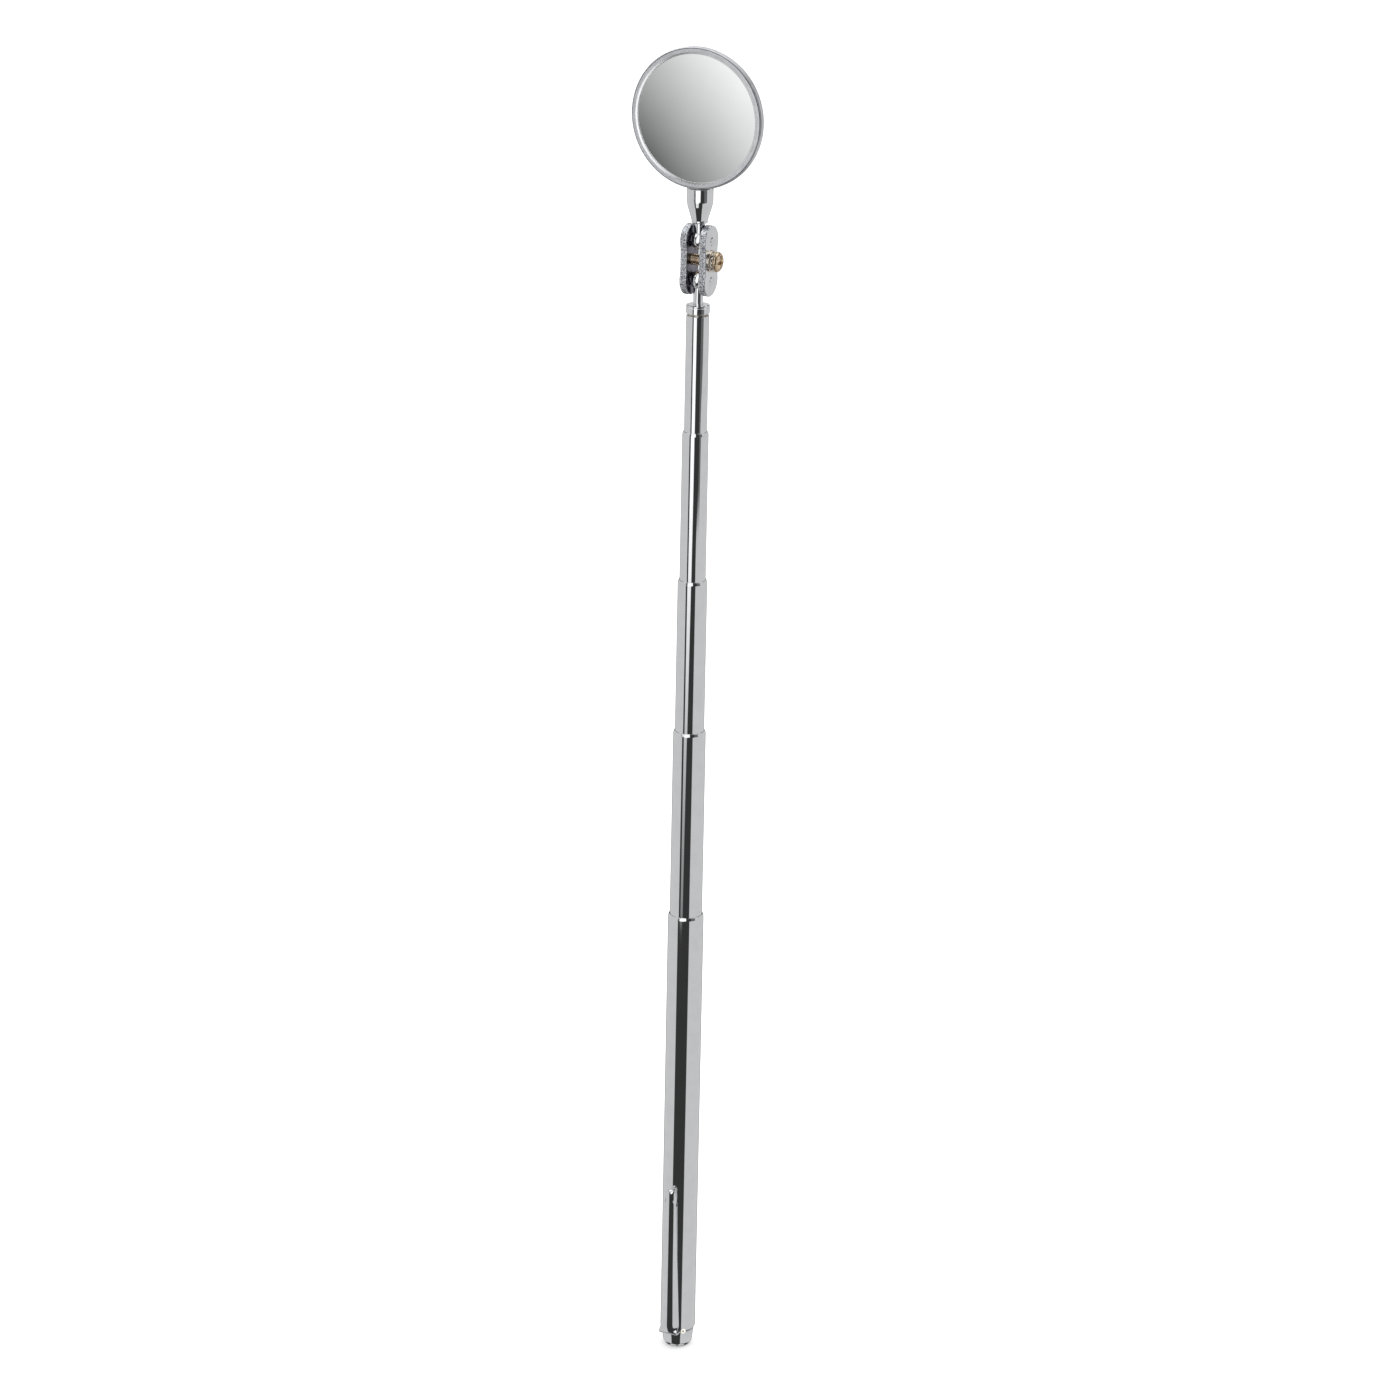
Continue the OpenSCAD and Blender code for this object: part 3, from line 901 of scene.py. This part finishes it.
bezel = turned("fine_mirror_bezel", [
    (rebate, seam + SEAM_HALF, 0.02), (frame_r - 0.06, seam + SEAM_HALF, 0.05),
    (frame_r, seam + 0.16, 0.1),
    (frame_r, front - 0.3, 0.12), (GROOVE + 0.1, front - 0.12, 0.05),
    (GROOVE + 0.05, front - 0.2, 0.01), (GROOVE - 0.03, front - 0.2, 0.01),
    (GROOVE - 0.08, front - 0.03, 0.1), (crest + 0.1, front, 0.3), (crest, front - 0.02, 0.1),
    (lip, front - 0.13, 0.06), (lip, glass_front + 0.02, 0.02), (rebate, glass_front + 0.02, 0.02),
], FACING, sides=256)
# Groove faces take the dark finish as painted shade; faces inside the crest take the polished bevel.
for face in bezel.data.polygons:
    spot = face.center / MM
    out, ahead = math.hypot(spot.x, spot.z - mirror_z), -spot.y
    if abs(out - GROOVE - 0.01) < 0.07 and ahead > front - 0.25:
        face.material_index = 1
    elif out < crest and ahead > front - 0.2:
        face.material_index = 2
fit(bezel, "mirror_head", [frame_chrome, painted_seam_shade, bevel_chrome], ["mirror_bezel"])

cup_r = (back_high.x - back_low.x) / 2
cup_back = -back_high.y
cup_floor = cup_back + 0.4
cup = turned("fine_mirror_back", [
    (0, cup_back, 0), (cup_r - 1.1, cup_back, 1.5), (cup_r - 0.3, cup_back + 0.1, 0.3),
    (cup_r, cup_back + 0.45, 0.3), (cup_r, seam - SEAM_HALF, 0.06), (rebate, seam - SEAM_HALF, 0.02),
    (rebate, cup_floor, 0.05), (0, cup_floor, 0),
], FACING, closed=False, sides=256)
fit(cup, "mirror_head", [frame_chrome], ["mirror_back"])

# A dark ring sunk in the seam between ring and cup: painted shade in the seam.
seam_shade_r = frame_r - 0.14
painted_seam_ring = turned("seam_shade_ring", [
    (rebate, seam - SEAM_HALF, 0.01), (seam_shade_r, seam - SEAM_HALF, 0.02),
    (seam_shade_r, seam + SEAM_HALF, 0.02), (rebate, seam + SEAM_HALF, 0.01),
], FACING, sides=256)
fit(painted_seam_ring, "mirror_head", [painted_seam_shade])

# %% [markdown]
# ## Silvered glass
#
# A mirror is a sheet of clear glass with silver behind it. The silver does the reflecting
# and the glass adds a faint second gloss, so a metallic base with a clear coat stands for
# both. A trace of haze in the roughness keeps it from looking like a hole.

# %% Cut and silver the glass
silvered = metal("silvered glass", (0.89, 0.91, 0.90), (0.87, 0.89, 0.88),
                 (0.008, 0.03), line_size=0.8, patches=0.15, depth=0.0)
coat = silvered.node_tree.nodes["Principled BSDF"]
coat.inputs["Coat Weight"].default_value = 0.6
coat.inputs["Coat Roughness"].default_value = 0.02
glass_r = (glass_high.x - glass_low.x) / 2
glass = turned("fine_mirror_glass", [
    (0, -glass_high.y, 0), (glass_r, -glass_high.y, 0.05),
    (glass_r, glass_front, 0.1), (0, glass_front, 0),
], FACING, closed=False, sides=256)
fit(glass, "mirror_head", [silvered], ["mirror_glass"])


# %% [markdown]
# ## Hidden pieces
#
# The friction sleeves, the bush and the felt pad sit inside the tubes and the frame. Their
# engineering shapes are already right, so they only get their own finishes.

# %% Finish the hidden pieces
felt = bpy.data.materials.new("dark felt")
felt.use_nodes = True
felt_tree = felt.node_tree
felt_shader = felt_tree.nodes["Principled BSDF"]
felt_shader.inputs["Roughness"].default_value = 0.95
felt_shader.inputs["Sheen Weight"].default_value = 0.4
fibres = noise(felt_tree, (1, 1, 1), 9.0)
fibre_tone = add_node(felt_tree, "ShaderNodeValToRGB")
fibre_tone.color_ramp.elements[0].color = (0.02, 0.022, 0.025, 1)
fibre_tone.color_ramp.elements[1].color = (0.07, 0.075, 0.08, 1)
felt_tree.links.new(fibres, fibre_tone.inputs["Fac"])
felt_tree.links.new(fibre_tone.outputs["Color"], felt_shader.inputs["Base Color"])

HIDDEN = {"barrel_bush": screw_brass, "backing_pad": felt}
HIDDEN.update({"sleeve_" + str(n): sleeve_bronze for n in range(2, 6)})
for node, finish in HIDDEN.items():
    mesh = frame["nodes"][node].data
    mesh.materials.clear()
    mesh.materials.append(finish)
    print(node, "gets", finish.name)


# %% [markdown]
# ## The camera
#
# A slim object is photographed from far away with a long lens, so that its two ends keep
# the same scale. The camera stands a metre off, a little to the right and above, and is
# rolled by about a degree so that the tool leans the way it does in the hand.

# %% Set the camera
AIM = Vector((0.0003, 0.0, 0.1596))
CAMERA_AZIMUTH = math.radians(25)
CAMERA_RISE = math.radians(18.5)
CAMERA_DISTANCE = 0.997
CAMERA_ROLL = math.radians(1.15)

back = Vector((
    math.sin(CAMERA_AZIMUTH) * math.cos(CAMERA_RISE),
    -math.cos(CAMERA_AZIMUTH) * math.cos(CAMERA_RISE),
    math.sin(CAMERA_RISE),
))
camera_data = bpy.data.cameras.new("camera")
camera_data.sensor_width = 36
camera_data.lens = 117.1
camera_data.clip_start = 0.05
camera = bpy.data.objects.new("camera", camera_data)
camera.location = AIM + back * CAMERA_DISTANCE
facing = (-back).to_track_quat("-Z", "Y").to_matrix()
camera.rotation_euler = (facing @ Matrix.Rotation(CAMERA_ROLL, 3, "Z")).to_euler()
bpy.context.scene.collection.objects.link(camera)
bpy.context.scene.camera = camera
print("camera at", [round(c, 3) for c in camera.location])


# %% [markdown]
# ## The studio
#
# Chrome is a picture of the room, so product photographers build the room: a white tent, a
# black flag where the camera stands, and one bright strip inside the flag's edge. Here the
# tent is a tall drum round the object that only reflections can see. Its glow is worked out
# from the direction round the drum and the height on it. A grey card beside the flag tones
# the upper tubes down, and a lit panel on the left gives the glass its gradient. A second
# flag hangs opposite, so that the tubes keep their contrast from behind.

# %% Wire the tent's glow
tent_glow = bpy.data.materials.new("tent glow")
tent_glow.use_nodes = True
tent_tree = tent_glow.node_tree
tent_tree.nodes.clear()


def calc(operation, *values):
    node = add_node(tent_tree, "ShaderNodeMath", operation=operation)
    for index, value in enumerate(values):
        if isinstance(value, (int, float)):
            node.inputs[index].default_value = value
        else:
            tent_tree.links.new(value, node.inputs[index])
    return node.outputs[0]


def ramp(value, start, end):
    """0 below start, 1 above end, smooth between; start may be the larger one."""
    node = add_node(tent_tree, "ShaderNodeMapRange", interpolation_type="SMOOTHSTEP")
    tent_tree.links.new(value, node.inputs["Value"])
    for socket, number in (("From Min", start), ("From Max", end)):
        if isinstance(number, (int, float)):
            node.inputs[socket].default_value = number
        else:
            tent_tree.links.new(number, node.inputs[socket])
    return node.outputs["Result"]


def between(value, start, end, soft):
    rise = ramp(value, start - soft, start + soft)
    fall = ramp(value, end + soft, end - soft)
    return calc("MULTIPLY", rise, fall)


def cover(under, over, mask):
    """Lays one brightness over another where the mask is 1."""
    return calc("MULTIPLY_ADD", calc("SUBTRACT", over, under), mask, under)


TENT_R, TENT_LOW, TENT_HIGH = 0.35, -0.7, 1.1
place = add_node(tent_tree, "ShaderNodeTexCoord")
split = add_node(tent_tree, "ShaderNodeSeparateXYZ")
tent_tree.links.new(place.outputs["Object"], split.inputs[0])
east, south, height = split.outputs[0], split.outputs[1], split.outputs[2]
bearing = calc("MULTIPLY", calc("ARCTAN2", east, calc("MULTIPLY", south, -1)), 180 / math.pi)
facing_away = calc("SUBTRACT", 180, calc("ABSOLUTE", bearing))


# %% Hang the ceiling and the skirt
CLOTH, FLAG, GREY_CARD, CEILING = 0.66, 0.04, 0.15, 1.25
CEILING_FROM, CEILING_FULL = 0.5, 0.56
RAIL_LOW, RAIL_HIGH, RAIL_SOFT = 0.4, 0.47, 0.01
SKIRT_TOP, SKIRT_FULL = -0.34, -0.38
glow = cover(CLOTH, CEILING, ramp(height, CEILING_FROM, CEILING_FULL))
glow = cover(glow, FLAG, between(height, RAIL_LOW, RAIL_HIGH, RAIL_SOFT))
skirt_foot = ramp(height, TENT_LOW + 0.06, TENT_LOW + 0.1)
glow = cover(glow, FLAG, calc("MULTIPLY", ramp(height, SKIRT_TOP, SKIRT_FULL), skirt_foot))

# %% Hang the flag and the grey card, by bearing in degrees
SOFT_EDGE = 1.5
FLAG_LEFT, FLAG_RIGHT, FLAG_STEP = -52, 24, 12
CARD_LEFT, CARD_RIGHT, CARD_STEP = 21.5, 50, 13


def right_of(edge):
    return ramp(bearing, edge - SOFT_EDGE, edge + SOFT_EDGE)


def left_of(edge, outside=SOFT_EDGE, inside=SOFT_EDGE):
    """1 to the left of an edge whose bearing may change with the height."""
    return ramp(calc("SUBTRACT", edge, bearing), -outside, inside)


upper = ramp(height, 0.09, 0.11)
card_right = calc("MULTIPLY_ADD", ramp(height, 0.125, 0.15), CARD_STEP, CARD_RIGHT)
card_mask = calc("MULTIPLY", right_of(CARD_LEFT), left_of(card_right))
glow = cover(glow, GREY_CARD, calc("MULTIPLY", card_mask, upper))
flag_right = calc("MULTIPLY_ADD", upper, FLAG_STEP, FLAG_RIGHT)
glow = cover(glow, FLAG, calc("MULTIPLY", right_of(FLAG_LEFT), left_of(flag_right)))

# %% Light the strip, which widens and brightens as it rises
STRIP_FROM, STRIP_FULL, STRIP_RIGHT = -40, -37.5, -22
STRIP_DIM, STRIP_GAIN = 0.3, 1.0
strip_fade = calc("MULTIPLY_ADD", ramp(height, -0.035, 0.13), STRIP_GAIN, STRIP_DIM)
strip_right = calc("MULTIPLY_ADD", ramp(height, -0.03, 0.12), 15, STRIP_RIGHT)
strip_right = calc("MULTIPLY_ADD", ramp(height, 0.165, 0.19), 11, strip_right)
strip_mask = calc("MULTIPLY", ramp(bearing, STRIP_FROM, STRIP_FULL), left_of(strip_right, 1, 3))
strip_mask = calc("MULTIPLY", strip_mask, ramp(height, -0.034, -0.026))
glow = cover(glow, strip_fade, strip_mask)
back_flag = calc("MULTIPLY", ramp(facing_away, 27, 24), ramp(height, 0.27, 0.24))
glow = cover(glow, FLAG, back_flag)

# %% Light the panel that the glass reflects
PANEL_BEARING, PANEL_HALF = -50, 8
PANEL_HEIGHT, PANEL_LOW, PANEL_HIGH = 0.219, 0.198, 0.25
PANEL_GLOW, PANEL_LEAST = 0.56, 0.1
GAIN_ACROSS, GAIN_UP = 0.43 / 3.5, 0.31 / 0.0205
panel_across = calc("MULTIPLY", calc("SUBTRACT", bearing, PANEL_BEARING), GAIN_ACROSS)
panel_up = calc("MULTIPLY", calc("SUBTRACT", height, PANEL_HEIGHT), GAIN_UP)
panel_sum = calc("ADD", calc("ADD", panel_across, panel_up), PANEL_GLOW)
panel_glow = calc("MAXIMUM", panel_sum, PANEL_LEAST)
panel_sides = between(bearing, PANEL_BEARING - PANEL_HALF, PANEL_BEARING + PANEL_HALF, 0.5)
panel_mask = calc("MULTIPLY", panel_sides, between(height, PANEL_LOW, PANEL_HIGH, 0.001))
glow = cover(glow, panel_glow, panel_mask)

emission = add_node(tent_tree, "ShaderNodeEmission")
output = add_node(tent_tree, "ShaderNodeOutputMaterial")
tent_tree.links.new(glow, emission.inputs["Strength"])
tent_tree.links.new(emission.outputs[0], output.inputs["Surface"])

# %% Raise the tent and lay the floor
tent = turned("studio_tent", [
    (0, TENT_LOW / MM, 0), (TENT_R / MM, TENT_LOW / MM, 60),
    (TENT_R / MM, TENT_HIGH / MM, 60), (0, TENT_HIGH / MM, 0),
], closed=False, sides=256)
tent.data.materials.append(tent_glow)
tent.rotation_euler.z = CAMERA_AZIMUTH
tent.visible_camera = False
tent.visible_diffuse = False
tent.visible_shadow = False
tent.visible_transmission = False

floor_finish = bpy.data.materials.new("pale studio floor")
floor_finish.use_nodes = True
floor_tree = floor_finish.node_tree
floor_shader = floor_tree.nodes["Principled BSDF"]
floor_shader.inputs["Roughness"].default_value = 0.9
floor_shader.inputs["Specular IOR Level"].default_value = 0.1
floor_tone = add_node(floor_tree, "ShaderNodeValToRGB")
floor_tone.color_ramp.elements[0].color = (0.93, 0.93, 0.93, 1)
floor_tone.color_ramp.elements[1].color = (0.96, 0.96, 0.96, 1)
floor_tree.links.new(noise(floor_tree, (1, 1, 1), 0.02), floor_tone.inputs["Fac"])
floor_tree.links.new(floor_tone.outputs["Color"], floor_shader.inputs["Base Color"])

FLOOR_HALF = 6.0
floor_mesh = bpy.data.meshes.new("studio_floor")
signs = [(-1, -1), (1, -1), (1, 1), (-1, 1)]
corners = [(x * FLOOR_HALF, y * FLOOR_HALF, cad_low.z) for x, y in signs]
floor_mesh.from_pydata(corners, [], [(0, 1, 2, 3)])
floor_mesh.materials.append(floor_finish)
floor = bpy.data.objects.new("studio_floor", floor_mesh)
bpy.context.scene.collection.objects.link(floor)
floor.visible_glossy = False

world = bpy.data.worlds.new("white room")
world.use_nodes = True
world.node_tree.nodes["Background"].inputs["Color"].default_value = (1, 1, 1, 1)
world.node_tree.nodes["Background"].inputs["Strength"].default_value = 1.5
bpy.context.scene.world = world
bpy.context.scene.view_settings.view_transform = "Standard"
